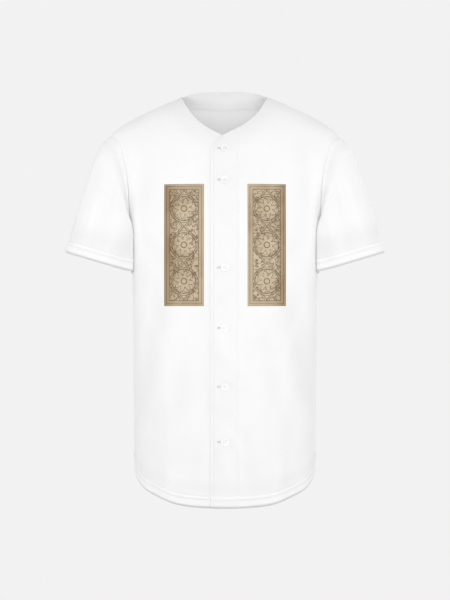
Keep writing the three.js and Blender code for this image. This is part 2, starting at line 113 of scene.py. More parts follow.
# The height of the hem by the turn round the form
HEM = table(
    "turn height",
    (0, CENTRE_HEM),
    (12, -749.2),
    (24, -746.7),
    (31.5, -742.9),
    (36, -739.1),
    (40.5, -735),
    (45, -730.5),
    (54, -722),
    (63, -711.2),
    (72, -699.2),
    (81, -688),
    (90, -680),
)

# Troughs and ridges of the body, each along a line from one point to another
FOLDS = table(
    "face x1 z1 x2 z2 width depth",
    (FRONT, 118, -360, 158, -565, 25, -8),
    (FRONT, -116, -350, -157, -580, 23, -7),
    (FRONT, 163, -112, 166, -180, 13, 3.5),
    (FRONT, -163, -112, -166, -175, 13, 3.5),
    (FRONT, 86, -520, 78, -735, 26, -2.5),
    (FRONT, -80, -540, -84, -735, 24, -2.5),
    (FRONT, 120, -575, 116, -728, 19, -5),
    (FRONT, -124, -570, -119, -728, 20, -5),
    (BACK, 4, -300, -6, -640, 34, -7),
    (BACK, 92, -270, 122, -560, 26, -6),
    (BACK, -96, -280, -118, -590, 25, -6),
    (BACK, 158, -120, 160, -200, 15, 4),
    (BACK, -158, -120, -160, -195, 15, 4),
    (BACK, 62, -560, 74, -735, 26, -4),
    (BACK, -58, -540, -66, -735, 24, -4),
)

# Smaller creases between and across the main folds
CREASES = table(
    "face x1 z1 x2 z2 width depth",
    (FRONT, -10, -438, 19, -486, 10, 1.6),
    (FRONT, -20, -470, 2, -520, 9, -1.0),
    (FRONT, -22, -566, 20, -608, 11, -1.2),
    (FRONT, 2, -586, 22, -630, 9, 1.3),
    (FRONT, -17, -640, -14, -684, 7, -1.8),
    (FRONT, 4, -655, 20, -700, 9, 1.2),
    (FRONT, 16, -350, -14, -384, 10, -0.8),
    (FRONT, -14, -206, 16, -250, 10, -0.7),
    (FRONT, 138, -250, 96, -312, 11, -1.4),
    (FRONT, -140, -262, -101, -330, 10, -1.3),
    (FRONT, 146, -392, 112, -470, 12, 1.4),
    (FRONT, -146, -380, -118, -452, 12, 1.3),
    (FRONT, 70, -430, 92, -560, 17, -1.5),
    (FRONT, -66, -452, -84, -574, 16, -1.3),
    (FRONT, 44, -610, 52, -722, 14, -1.4),
    (FRONT, -48, -622, -54, -720, 14, -1.3),
    (FRONT, 98, -668, 94, -728, 10, 1.2),
    (FRONT, -98, -650, -100, -722, 11, 1.2),
    (BACK, -20, -120, 6, -220, 18, -1.6),
    (BACK, 84, -96, 66, -200, 16, 1.3),
    (BACK, -80, -92, -66, -190, 15, 1.4),
    (BACK, 138, -252, 100, -330, 12, -1.5),
    (BACK, -138, -262, -104, -338, 12, -1.5),
    (BACK, 42, -420, 54, -590, 17, 1.8),
    (BACK, -44, -440, -50, -600, 16, 1.6),
    (BACK, 104, -640, 100, -728, 12, 1.6),
    (BACK, -100, -650, -102, -730, 12, 1.6),
    (BACK, 10, -650, 4, -728, 12, 1.5),
)

# Patches of painted shade and painted light on both sides of the body: painted shade at the low sides and
# beside the upper armhole, painted light beside the underarm
PAINTED_LIGHT_PATCHES = table(
    "x height wide tall change",
    (144, -645, 14, 60, -0.03),
    (170, -248, 18, 58, 0.08),
    (146, -165, 20, 60, -0.03),
)


def ease(value, low, high):
    """0 below low and 1 above high, with a smooth step between."""
    t = np.clip((value - low) / (high - low), 0, 1)
    return t * t * (3 - 2 * t)


def hill(distance, width):
    """1 where distance is 0, falling off to both sides."""
    return np.exp(-((distance / width) ** 2))


def look_up(rows, key, place, column):
    """A column's value at a place between the rows, on a smooth curve through them."""
    keys, values = rows[key], rows[column]
    last = len(keys) - 1
    after = np.minimum(np.arange(last + 1) + 1, last)
    before = np.maximum(np.arange(last + 1) - 1, 0)
    slope = (values[after] - values[before]) / (keys[after] - keys[before])
    i = np.clip(np.searchsorted(keys, place, side="right") - 1, 0, last - 1)
    span = keys[i + 1] - keys[i]
    t = np.clip((place - keys[i]) / span, 0, 1)
    rise = t * t * (3 - 2 * t)
    bend = (t**3 - 2 * t * t + t) * slope[i] + (t**3 - t * t) * slope[i + 1]
    return values[i] + rise * (values[i + 1] - values[i]) + span * bend


def form_at(height, column):
    return look_up(FORM, "height", height, column)


def form(face, side, turn, height):
    """Points of the filled form. turn is 0 at the middle of a face and a right angle at its side."""
    power = form_at(height, "power")
    across, deep = np.abs(np.sin(turn)), np.abs(np.cos(turn))
    reach = (across**power + deep**power) ** (-1 / power)
    depth = form_at(height, "front" if face == FRONT else "back")
    x = side * np.sign(turn) * form_at(height, "half") * across * reach
    y = face * np.sign(np.cos(turn)) * depth * deep * reach
    return np.stack(np.broadcast_arrays(x, y, height), -1)


def outward(surface, face, side, turn, height):
    """Unit directions square to a surface, pointing away from the body."""
    turned = surface(face, side, turn + 1e-3, height) - surface(face, side, turn - 1e-3, height)
    raised = surface(face, side, turn, height + 1) - surface(face, side, turn, height - 1)
    normal = np.cross(turned, raised) * (-face * side)
    return normal / np.linalg.norm(normal, axis=-1, keepdims=True)


def fold_push(folds, face, x, height):
    """How far the folds of a face push its cloth out."""
    push = 0
    for fold_face, x1, z1, x2, z2, width, depth in zip(*folds.values()):
        if fold_face != face:
            continue
        length = math.hypot(x2 - x1, z2 - z1)
        run_x, run_z = (x2 - x1) / length, (z2 - z1) / length
        along = (x - x1) * run_x + (height - z1) * run_z
        beside = (x - x1) * run_z - (height - z1) * run_x
        end = min(45, 0.8 * length)
        ends = ease(along, -end, end) * (1 - ease(along, length - end, length + end))
        push = push + depth * ends * hill(beside, width)
    return push


def cloth(face, side, turn, height):
    """Points of the form with its folds, which fade towards the side and shoulder seams."""
    points = form(face, side, turn, height)
    push = sum(fold_push(folds, face, points[..., 0], height) for folds in (FOLDS, CREASES))
    push = push * (1 - ease(np.abs(turn), math.radians(66), math.radians(86)))
    return points + outward(form, face, side, turn, height) * push[..., None]


def surface_at(face, side, turn, height, out):
    """Points lying out millimetres outside the form, held in the middle plane at a side seam."""
    points, normal = cloth(face, side, turn, height), outward(cloth, face, side, turn, height)
    at_seam = turn > RIGHT_ANGLE - 1e-4
    points[..., 1] = np.where(at_seam, 0, points[..., 1]) + face * SEAM_GAP / 2
    normal[..., 1] = np.where(at_seam, 0, normal[..., 1])
    normal /= np.linalg.norm(normal, axis=-1, keepdims=True)
    return points + normal * np.asarray(out, float)[..., None]


def at_x(x, height):
    """Turns and heights at a distance from the middle."""
    x, height = np.broadcast_arrays(np.asarray(x, float), np.asarray(height, float))
    power = form_at(height, "power")
    share = np.minimum(np.abs(x) / form_at(height, "half"), 1)
    return np.stack([np.sign(x) * np.arctan2(share, (1 - share**power) ** (1 / power)), height])


def hem_line(start, end):
    """The hem between two turns, by the share run."""

    def at(u):
        turn = start + (end - start) * u
        return np.stack([turn, look_up(HEM, "turn", np.degrees(np.abs(turn)), "height")])

    return at


def run_along(points, axis):
    """The distance run along a grid of points."""
    steps = np.linalg.norm(np.diff(points, axis=axis), axis=-1)
    start = np.zeros_like(np.take(steps, [0], axis))
    return np.concatenate([start, np.cumsum(steps, axis)], axis)


def armhole(face):
    """Turns and heights along the armhole, and the share of its length run at each."""
    swing = np.linspace(0, 180, 721)
    turn = np.radians(look_up(ARMHOLE, "swing", swing, "turn"))
    middle, half = (UNDERARM + SHOULDER_TIP) / 2, (SHOULDER_TIP - UNDERARM) / 2
    height = middle - half * np.cos(np.radians(swing))
    run = run_along(cloth(face, LEFT, turn, height), 0)
    return turn, height, run / run[-1]


ARMHOLES = {face: armhole(face) for face in (FRONT, BACK)}

# Rows of the panels: the hem band ends at row 1, the underarm is row 11, the shoulder tip row 23, the
# back neck facing starts at row 26 and the neckline is row 28. The steps are short where seams are.
UNDERARM_ROW, TIP_ROW, FACING_ROW, NECK_ROW = 11, 23, 26, 28
MARKS = [0, 1, UNDERARM_ROW, TIP_ROW, FACING_ROW, NECK_ROW]
HEM_STEPS = [0, 0.4, 0.9, 1.5, 2.2, 3, 4.2, 6, 8, 10, 11.6, 13, 14.2, 15.3, 16.4, 17.4, 18.5, 19.3]
ROWS = np.concatenate(
    [
        np.array(HEM_STEPS) / HEM_HEIGHT,
        [1, 1.02, 1.04, 1.065, 1.09, 1.13],
        np.linspace(1.18, UNDERARM_ROW, 136),
        np.linspace(UNDERARM_ROW, TIP_ROW, 70)[1:],
        np.linspace(TIP_ROW, NECK_ROW - 1, 32)[1:],
        NECK_ROW - np.array([0.82, 0.7, 0.64, 0.58, 0.5, 0.4, 0.3, 0.2, 0.1, 0.05, 0]),
    ]
)


def outer_edge(face, row):
    """Side seam, armhole and shoulder seam as turns and heights."""
    low = HEM["height"][-1]
    levels = [low, low + HEM_HEIGHT, UNDERARM, SHOULDER_TIP, FACING_AT_SHOULDER, 0]
    turn, height, share = ARMHOLES[face]
    done = (row - UNDERARM_ROW) / (TIP_ROW - UNDERARM_ROW)
    in_hole = (row > UNDERARM_ROW) & (row < TIP_ROW)
    turns = np.where(in_hole, np.interp(done, share, turn), RIGHT_ANGLE)
    heights = np.where(in_hole, np.interp(done, share, height), np.interp(row, MARKS, levels))
    return np.stack([turns, heights])


def patch(left, right, bottom, top, across, lift=0):
    """Turns and heights of the cloth between four outlines, rows by columns.

    The hem's curve fades out up to the underarm, the neckline's curve fades down to the shoulder tip,
    and lift bows the rows near the tip, where the armhole and the shoulder seam meet square.
    """
    row, u = ROWS[:, None], across[None, :]

    def blend(at):
        return left(at) * (1 - u) + right(at) * u

    near_hem, near_neck = 1 - ease(row, 1, UNDERARM_ROW), ease(row, TIP_ROW, NECK_ROW)
    places = blend(row) + near_hem * (bottom(u) - blend(np.zeros((1, 1))))
    places = places + near_neck * (top(u) - blend(np.full((1, 1), float(NECK_ROW))))
    reach = np.where(row > TIP_ROW, 3, 6)
    bow = lift * np.maximum(0, 1 - np.abs(row - TIP_ROW) / reach) * 4 * u * (1 - u)
    return places + np.stack([0 * bow, bow])


def hem_profile(up):
    """How the turned hem stands out, by the distance from its fold."""
    lip = HEM_LIP - np.sqrt(np.maximum(HEM_LIP**2 - np.maximum(HEM_LIP - up, 0) ** 2, 0))
    band = 0.45 * ease(up, 0, 4) * (1 - ease(up, 20.5, 23))
    needles = 0.4 * hill(up - HEM_NEEDLES[0], 0.9) + 0.2 * hill(up - HEM_NEEDLES[1], 0.9)
    return band - lip + 1.15 * hill(up - HEM_RIDGE, 2.6) - needles - 0.35 * hill(up - 13, 2.5)


def neck_profile(down):
    """How the turned neck edge stands out, by the distance from it."""
    edge = 0.9 * (1 - ease(down, 0, 1.4))
    return 0.5 * (1 - ease(down, 5.8, 7.4)) - edge - 0.4 * hill(down - NECK_NEEDLE, 0.8)


def seam_profile(away):
    """The groove of a seam and the swell beside it, by the distance from it."""
    return 0.25 * hill(away - 4, 1.8) - 0.22 * (1 - ease(away, 0, 2))


def hem_painted_light(up):
    """Painted highlight on the ridge of a hem, painted shade in its groove and painted shadow along its
    fold, by the distance from the fold.
    """
    # painted shadow along the folded bottom edge of the hem
    fold = 0.28 * (1 - ease(up, 2, 5.5))
    return 0.045 * hill(up - 19.4, 2.2) - 0.035 * hill(up - 14.6, 1.8) - fold


def body_painted_light(panel):
    """The whiteness of a panel, with painted shade in folds, below the neck, above the hem band, in
    patches and low down, and painted light on ridges and at seams.
    """
    x = form(panel.face, panel.side, panel.turn, panel.height)[..., 0]
    deep, slight = (fold_push(folds, panel.face, x, panel.height) for folds in (FOLDS, CREASES))
    # painted shade in the troughs of the folds and creases, painted light on their ridges, and the hem's
    # painted highlight and shade
    tone = WHITENESS + 0.007 * deep + 0.018 * slight + hem_painted_light(panel.up)
    # painted shade in a band above the hem, painted light right at the outer seams
    tone = tone - 0.03 * hill(panel.up - 34, 12) + 0.03 * (1 - ease(panel.away, 1, 4))
    # painted shade below the neckline, within the shoulder reach
    tone = tone - 0.045 * (1 - ease(panel.down, 6, 52)) * (np.abs(x) < SHOULDER_REACH)
    # painted shade towards the bottom of the body
    tone = tone - 0.022 * (1 - ease(panel.height, -700, -420))
    # patches of painted shade and painted light
    for middle, height, wide, tall, change in zip(*PAINTED_LIGHT_PATCHES.values()):
        tone = tone + change * hill(np.abs(x) - middle, wide) * hill(panel.height - height, tall)
    # on the back, painted shade along the neck edge and in a soft band below the neck, where the inside of
    # the back shows through the V
    if panel.face == BACK:
        tone = tone - 0.12 * (1 - ease(panel.down, 1, 4)) - 0.05 * hill(panel.down - 76, 22) * hill(x, 70)
    return tone


# How far the thread of a stitch lies above the cloth
THREAD_LIFT = 0.15


class Panel:
    """A panel cut to its outlines on the form: turns and heights, and how far out each point is."""

    def __init__(self, face, side, places, shape):
        self.face, self.side, self.turn, self.height = face, side, *places
        bare = surface_at(face, side, *places, 0)
        self.up, self.across = run_along(bare, 0), run_along(bare, 1)
        self.down, self.away = self.up[-1] - self.up, self.across[:, -1:] - self.across
        self.out = shape(self)
        self.points = surface_at(face, side, *places, self.out)
        self.uv = np.stack([self.across, self.up], -1)
        self.tone = body_painted_light(self)

    def line(self, measure, distance, columns=True):
        """Points and directions out where measure has run a distance, by column or by row."""
        grids = [g if columns else g.T for g in (measure, self.turn, self.height, self.out)]
        order = slice(None) if grids[0][0, 0] < grids[0][-1, 0] else slice(None, None, -1)
        found = np.array(
            [
                [np.interp(distance, grids[0][order, j], g[order, j]) for g in grids[1:]]
                for j in range(grids[0].shape[1])
            ]
        )
        turn, height, out = found.T
        points = surface_at(self.face, self.side, turn, height, out + THREAD_LIFT)
        return points, outward(cloth, self.face, self.side, turn, height)

    def made(self, name, materials):
        return cloth_object(name, self.points, self.uv, self.tone, CLOTH, materials, (0, self.face, 0))


def body_shape(panel):
    return hem_profile(panel.up) + neck_profile(panel.down) + seam_profile(panel.away)


def linked(name, data):
    """An object of the scene for a mesh, a lamp or a camera."""
    made = bpy.data.objects.new(name, data)
    bpy.context.scene.collection.objects.link(made)
    return made


def select_only(piece):
    bpy.ops.object.select_all(action="DESELECT")
    piece.select_set(True)
    bpy.context.view_layer.objects.active = piece


def mesh_object(name, vertices, faces, materials):
    """A smooth piece from points in millimetres and faces, alone selected."""
    mesh = bpy.data.meshes.new(name)
    mesh.from_pydata((vertices * MM).tolist(), [], faces)
    mesh.polygons.foreach_set("use_smooth", np.ones(len(mesh.polygons), bool))
    for material in materials:
        mesh.materials.append(material)
    made = linked(name, mesh)
    select_only(made)
    return made


def cloth_object(name, points, uv, tone, thickness, materials, outer, round_=False):
    """A smooth sheet with thickness behind it, from a grid of points in millimetres.

    tone is the share of whiteness at each point, with painted shade in the folds and hollows and painted
    light on ridges and at seams. outer is the way out at the middle of the grid. round_ joins the last
    column to the first one.
    """
    high, wide = points.shape[:2]
    row, column = np.meshgrid(np.arange(high - 1), np.arange(wide - (not round_)), indexing="ij")
    first, second = row * wide + column, row * wide + (column + 1) % wide
    quads = np.stack([first, second, second + wide, first + wide], -1).reshape(-1, 4)
    steps = ((0, 0), (0, 1), (1, 1), (1, 0))
    corners = np.stack([uv[row + i, column + j] for i, j in steps], -2).reshape(-1, 4, 2)
    a, b, c = (points[high // 2 + i, wide // 2 + j] for i, j in ((0, 0), (0, 1), (1, 0)))
    if np.dot(np.cross(b - a, c - a), outer) < 0:
        quads, corners = quads[:, ::-1], corners[:, ::-1]
    made = mesh_object(name, points.reshape(-1, 3), quads.tolist(), materials)
    mesh = made.data
    mesh.uv_layers.new(name="Cloth").data.foreach_set("uv", (corners.ravel() * MM).astype(np.float32))
    # the whiteness with its painted shade and painted light, kept as a point attribute
    whiteness = np.clip(tone, 0.3, 1).ravel().astype(np.float32)
    mesh.attributes.new("Whiteness_And_Painted_Light", "FLOAT", "POINT").data.foreach_set("value", whiteness)
    border = np.zeros((high, wide), bool)
    border[[0, -1]] = True
    if not round_:
        border[:, [0, -1]] = True
    ends = np.empty(2 * len(mesh.edges), np.int32)
    mesh.edges.foreach_get("vertices", ends)
    sharp = border.ravel()[ends.reshape(-1, 2)].all(axis=1)
    mesh.attributes.new("sharp_edge", "BOOLEAN", "EDGE").data.foreach_set("value", sharp)
    solid = made.modifiers.new("Thickness", "SOLIDIFY")
    solid.thickness, solid.offset = thickness * MM, -1
    solid.material_offset = solid.material_offset_rim = len(materials) - 1
    bpy.ops.object.modifier_apply(modifier=solid.name)
    return made


def operator(operation, reflected=False):
    """A method that adds a Math node for one of Python's operators."""

    def method(value, *others):
        values = (*others, value) if reflected else (value, *others)
        return value.nodes.maths(operation, *values)

    return method


class Value:
    """A socket of a node tree that Python's arithmetic turns into Math nodes."""

    __add__ = __radd__ = operator("ADD")
    __sub__ = operator("SUBTRACT")
    __rsub__ = operator("SUBTRACT", reflected=True)
    __mul__ = __rmul__ = operator("MULTIPLY")
    __truediv__ = operator("DIVIDE")
    __rtruediv__ = operator("DIVIDE", reflected=True)
    __pow__ = operator("POWER")
    __mod__ = operator("FLOORED_MODULO")
    __abs__ = operator("ABSOLUTE")

    def __init__(self, nodes, socket):
        self.nodes, self.socket = nodes, socket


class Nodes:
    """The nodes of a material or of the world."""

    def __init__(self, owner, shader="Principled BSDF"):
        owner.use_nodes = True
        self.owner, self.tree = owner, owner.node_tree
        self.shader = self.tree.nodes[shader]

    def node(self, kind, settings, inputs, output=0):
        node = self.tree.nodes.new("ShaderNode" + kind)
        for name, value in settings.items():
            setattr(node, name, value)
        for name, value in inputs.items():
            self.plug(node.inputs[name], value)
        return Value(self, node.outputs[output])

    def plug(self, socket, value):
        if isinstance(value, Value):
            self.tree.links.new(value.socket, socket)
        else:
            socket.default_value = value

    def maths(self, operation, *values):
        return self.node("Math", {"operation": operation}, dict(enumerate(values)))

    def least(self, *values):
        return reduce(lambda first, second: self.maths("MINIMUM", first, second), values)

    def most(self, *values):
        return reduce(lambda first, second: self.maths("MAXIMUM", first, second), values)

    def sin(self, angle):
        return self.maths("SINE", angle)

    def step(self, value, low, high):
        """0 below low and 1 above high, or the other way round."""
        return self.node(
            "MapRange",
            {"interpolation_type": "SMOOTHSTEP"},
            {"Value": value, "From Min": low, "From Max": high},
        )

    def where(self):
        """The place on the object."""
        return self.node("TexCoord", {}, {}, "Object")

    def millimetres(self, where, count=3):
        """The parts of a place in millimetres."""
        split = self.node("SeparateXYZ", {}, {0: where}).socket.node
        return (Value(self, socket) * 1000 for socket in split.outputs[:count])

    def noise(self, where, scale, detail=2.0, rough=0.5):
        return self.node(
            "TexNoise", {}, {"Vector": where, "Scale": scale, "Detail": detail, "Roughness": rough}
        )

    def blend(self, share, first, second):
        return self.node("Mix", {"data_type": "RGBA"}, {0: share, 6: first, 7: second}, 2)

    def bump(self, height, distance, strength, normal=None):
        inputs = {"Height": height, "Distance": distance, "Strength": strength}
        if normal is not None:
            inputs["Normal"] = normal
        return self.node("Bump", {}, inputs)

    def finish(self, **inputs):
        """Constants and patterns go to the shader's own sockets."""
        for name, value in inputs.items():
            self.plug(self.shader.inputs[name.replace("_", " ")], value)
        return self.owner


def linear(red, green, blue):
    """A display colour, 0 to 255, as a linear one."""
    parts = [c / 255 for c in (red, green, blue)]
    return (*(p / 12.92 if p <= 0.04045 else ((p + 0.055) / 1.055) ** 2.4 for p in parts), 1.0)


# The width and the height of a loop of the knit
WALE, COURSE = 1.1, 0.85


def knit(name, tint=(247, 247, 247), print_colour=None):
    """White knit: columns of loops across the grain, soft unevenness, and painted shade and painted light
    from each piece's point attribute.
    """
    nodes = Nodes(bpy.data.materials.new(name))
    across, along = nodes.millimetres(nodes.node("UVMap", {"uv_map": "Cloth"}, {}), 2)
    where = nodes.where()
    x, _, z = nodes.millimetres(where)
    column = abs(nodes.sin(across * (math.pi / WALE)))
    lean = nodes.sin(across * (2 * math.pi / WALE) + math.pi / 2) * 1.3
    loop = nodes.sin(along * (2 * math.pi / COURSE) + lean) * 0.5 + 0.5
    loops = column * 0.6 + column * loop * 0.4
    cloudy = nodes.noise(where, 14, 3)
    fuzz = nodes.noise(where, 900, 2)
    white = linear(*tint)
    dim = tuple(0.955 * c for c in white[:3]) + (1.0,)
    colour = nodes.blend(nodes.step(cloudy, 0.25, 0.75) * 0.5 + loops * 0.3, dim, white)
    if print_colour:
        colour = print_colour(nodes, where, x, z, colour)
    # painted shade and painted light: the colour is scaled by the piece's attribute, darker in folds,
    # grooves and hollows, whiter on ridges and at seams
    tone = nodes.node("Attribute", {"attribute_name": "Whiteness_And_Painted_Light"}, {}, "Fac")
    colour = nodes.blend(tone, (0, 0, 0, 1), colour)
    soft = nodes.bump(cloudy, 0.012, 0.22)
    fine = nodes.bump(loops + fuzz * 0.3, 0.0004, 0.28, soft)
    return nodes.finish(
        Base_Color=colour,
        Roughness=0.8 + fuzz * 0.14,
        Normal=fine,
        Specular_IOR_Level=0.2,
        Sheen_Weight=0.1,
        Sheen_Roughness=0.5,
        Subsurface_Weight=0.3,
        Subsurface_Radius=(1, 1, 1),
        Subsurface_Scale=0.0015,
    )


bare_knit = knit("white_knit")
# The inside is a whiter copy of the knit, 254 against 247: painted light for the inside of the neck and
# the rims, which lie in shade.
inside_knit_painted_lighter = knit("white_knit_inside_painted_lighter", (254, 254, 254))


# The columns of a panel, as shares of its width of 230 mm, close together at its outer seam
SEAM_STEPS = np.array([13, 10, 7.5, 5.5, 4.2, 3.2, 2.4, 1.6, 0.8, 0]) / 230
PANEL_COLUMNS = np.concatenate([np.linspace(0, 1 - SEAM_STEPS[0], 58), 1 - SEAM_STEPS[1:]])
TIP_BOW = 13


def half_back():
    def neck(u):
        x = NECK_HALF * (1 - (1 - u) ** 1.5)
        height = BACK_NECK * (1 - (x / NECK_HALF) ** 3.5)
        turn, height = at_x(x, height)
        return np.stack([np.where(u == 1, RIGHT_ANGLE, turn), np.where(u == 1, 0, height)])

    def middle(row):
        top = BACK_NECK - FACING_HEIGHT
        levels = [CENTRE_HEM, HEM_TOP, UNDERARM_AT_BACK, TIP_AT_BACK, top, BACK_NECK]
        return np.stack([0 * row, np.interp(row, MARKS, levels)])

    hem = hem_line(0, RIGHT_ANGLE)
    return patch(middle, lambda row: outer_edge(BACK, row), hem, neck, PANEL_COLUMNS, TIP_BOW)


back_halves = {side: Panel(BACK, side, half_back(), body_shape) for side in (RIGHT, LEFT)}


def whole(halves, what):
    """Both halves' grids of the back as one, from the wearer's right to the left."""
    right, left = (getattr(halves[side], what) for side in (RIGHT, LEFT))
    if what == "uv":
        right = right * [-1, 1]
    return np.concatenate([right[:, :0:-1], left], axis=1)


back_grids = [whole(back_halves, what) for what in ("points", "uv", "tone")]
back = cloth_object("jersey_back", *back_grids, CLOTH, [bare_knit, inside_knit_painted_lighter], (0, 1, 0))
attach(back, "root")
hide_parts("back")


# The right front
# It passes under the left front, where it dips to make room for it, and carries the buttons. The ornament
# is printed on both fronts in brown on tan, like an old engraving, and stops short of the placket.
UNDERARM_AT_FRONT = -289
TIP_AT_PLACKET = -112
V_X = -3
V_BOTTOM = -77
V_SLOPE = 0.535
V_CURVE = 36
UNDER_LAP = 1.7
LAP = 23
CORNER = 31
CORNER_BOW = 22.4
PLACKET_HALF = 26
PRINT = {
    "inner": 37.6,
    "inner_step": 2.7,
    "outer": 109.9,
    "low": -387.1,
    "high": -167,
    "margin": 12,
    "wheels": 3,
}


def neck_height(x, v):
    return np.minimum(0, V_BOTTOM + V_SLOPE * (x - v) + V_CURVE * (x / NECK_HALF) ** 4)


def free_edge(row, v):
    """Up the free edge, then in a soft bend round its top corner to the bottom of the V at x = v."""
    straight = np.interp(row, MARKS[:4], [CENTRE_HEM, HEM_TOP, UNDERARM_AT_FRONT, V_BOTTOM - CORNER])
    bend = np.clip((row - TIP_ROW) / (NECK_ROW - TIP_ROW), 0, 1)
    height = straight + CORNER * bend**2 + CORNER_BOW * bend * (1 - bend)
    return at_x(v - LAP * (1 - bend**2), height)


def front_patches(v, lap_columns):
    """The part of a front under the placket, and the rest of it."""
    top = float(neck_height(PLACKET_HALF, v))
    levels = [CENTRE_HEM, HEM_TOP, UNDERARM_AT_FRONT, TIP_AT_PLACKET, top]

    def free(row):
        return free_edge(row, v)

    def band(row):
        return at_x(PLACKET_HALF, np.interp(row, [*MARKS[:4], NECK_ROW], levels))

    def neck(start, end, power=1.0):
        def at(u):
            x = start + (end - start) * (1 - (1 - u) ** power)
            return at_x(x, neck_height(x, v))

        return at

    free_turn, band_turn = (float(line(np.zeros((1, 1)))[0, 0, 0]) for line in (free, band))
    lap = patch(free, band, hem_line(free_turn, band_turn), neck(v, PLACKET_HALF), lap_columns)
    side_hem, side_neck = hem_line(band_turn, RIGHT_ANGLE), neck(PLACKET_HALF, NECK_HALF, 1.5)
    side = patch(band, lambda row: outer_edge(FRONT, row), side_hem, side_neck, PANEL_COLUMNS, TIP_BOW)
    return lap, side


lap_columns = np.concatenate([[0, 0.015, 0.035, 0.06], np.linspace(0.1, 1, 15)])


def front_places(v):
    lap, side = front_patches(v, lap_columns)
    return np.concatenate([lap, side[..., 1:]], axis=-1)


def ornament(nodes, where, x, z, bare):
    """Tan ground with a ruled border and three wheel medallions in lozenges, in brown line work."""
    inner = PRINT["inner"] + PRINT["inner_step"] * nodes.step(x, -1, 1)
    t = abs(x) - inner
    s = z - PRINT["low"]
    wide, tall = PRINT["outer"] - inner, PRINT["high"] - PRINT["low"]
    inside = nodes.least(t, wide - t, s, tall - s)
    blot = nodes.noise(where, 22, 4)
    grit = nodes.noise(where, 420, 3, 0.65)
    wobble = (nodes.noise(where, 130, 2) - 0.5) * 1.6

    def stroke(distance, half):
        """1 on a line where distance is 0, with a soft rim."""
        return nodes.step(abs(distance), half + 0.35, half - 0.25)

    # Medallions: a lozenge, a wheel of petals, rings and spokes
    period = (tall - 2 * PRINT["margin"]) / PRINT["wheels"]
    q = (s - PRINT["margin"] + wobble * 0.4) % period - period / 2
    p = t - wide / 2 + wobble * 0.3
    radius = (p * p + q * q) ** 0.5
    angle = nodes.maths("ARCTAN2", q, p)
    petals = radius - 14.5 - 4.5 * nodes.sin(angle * 8)
    lozenge = abs(p) * (1 / 27) + abs(q) * (2 / period) - 1
    rings = nodes.most(
        stroke(radius - 21.8, 0.95),
        stroke(radius - 25.2, 0.55),
        stroke(radius - 5, 0.9),
        stroke(petals * 0.8, 0.85),
        stroke(lozenge * 24, 0.8),
        stroke(lozenge * 24 - 3.2, 0.45),
    )
    in_ring = nodes.step(radius, 23.2, 22.2)
    outside_petals = nodes.step(petals, -0.3, 0.5)
    spokes = nodes.step(nodes.sin(angle * 44), -0.1, 0.7) * in_ring * outside_petals
    shade = nodes.step(nodes.sin((p + q) * 2.1 + wobble), 0.0, 0.8) * nodes.step(petals, 0, -5)
    # Ruled ground outside the wheels, waved like water lines, thicker towards the outer edge
    ruled = nodes.sin(s * 3.1 + nodes.sin(t * 0.32) * 2.2 + wobble * 1.5)
    ground = nodes.step(ruled, 0.05, 0.85) * nodes.step(radius, 24.5, 26) * (0.35 + t * 0.006)
    leaves = nodes.noise(where, 120, 3, 0.6)
    sprigs = stroke((leaves - 0.5) * 22, 0.75) * nodes.step(lozenge, 0.05, 0.2)
    vines = stroke((leaves - 0.54) * 26, 0.6) * in_ring * outside_petals
    # Border: rules with a hatched ribbon between them
    border = nodes.most(stroke(inside - 4.2, 0.5), stroke(inside - 9.8, 0.6))
    ribbon = stroke(inside - 7, 1.6) * nodes.step(nodes.sin((t + s) * 2.4), -0.2, 0.6)
    field = nodes.step(inside, 10.2, 10.8)
    ink = nodes.most(rings, spokes * 0.5) + shade * 0.5 + ground * 0.8 + sprigs + vines * 0.8
    ink = ink * field * 0.85 + border * 0.9 + ribbon * 0.55
    wear_and_shadow_mottle = 0.62 + 0.5 * nodes.step(grit, 0.3, 0.6)
    ink = nodes.least(ink * wear_and_shadow_mottle + nodes.step(inside, 1.3, 0.4) * 0.8, 1)
    # Paper: tan, browner towards the outer edge and corners
    edge = nodes.step(t, 40, 74) * 0.7 + nodes.step(inside, 15, 0) * 0.3
    age = nodes.least(edge + nodes.step(blot, 0.42, 0.7) * 0.35, 1)
    paper = nodes.blend(age, linear(212, 196, 168), linear(168, 142, 108))
    printed = nodes.blend(ink * 0.8, paper, linear(78, 62, 42))
    return nodes.blend(nodes.step(inside, -0.1, 0.5), bare, printed)


printed_knit = knit("printed_knit", print_colour=ornament)


def under_shape(panel):
    x = panel.side * form(FRONT, panel.side, panel.turn, panel.height)[..., 0]
    return body_shape(panel) - UNDER_LAP * (1 - ease(x, 30, 64))


right_front = Panel(FRONT, RIGHT, front_places(-V_X), under_shape)
front_right = right_front.made("jersey_front_right", [printed_knit, inside_knit_painted_lighter])
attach(front_right, "root")
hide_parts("front_right")


# The left front
# It laps over the right front by twice the lap, and its free edge is bound by the placket band.
left_front = Panel(FRONT, LEFT, front_places(V_X), body_shape)
front_left = left_front.made("jersey_front_left", [printed_knit, inside_knit_painted_lighter])
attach(front_left, "root")
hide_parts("front_left")


# The placket band
# A strip of the same knit, folded in at both sides and stitched down on the left front 5.6 mm from the
# free edge and 2.6 mm from the inner one, so it puckers a little along its stitches.
FREE_NEEDLE, INNER_NEEDLE = 5.6, 2.6
BAND_RISE = 1.3


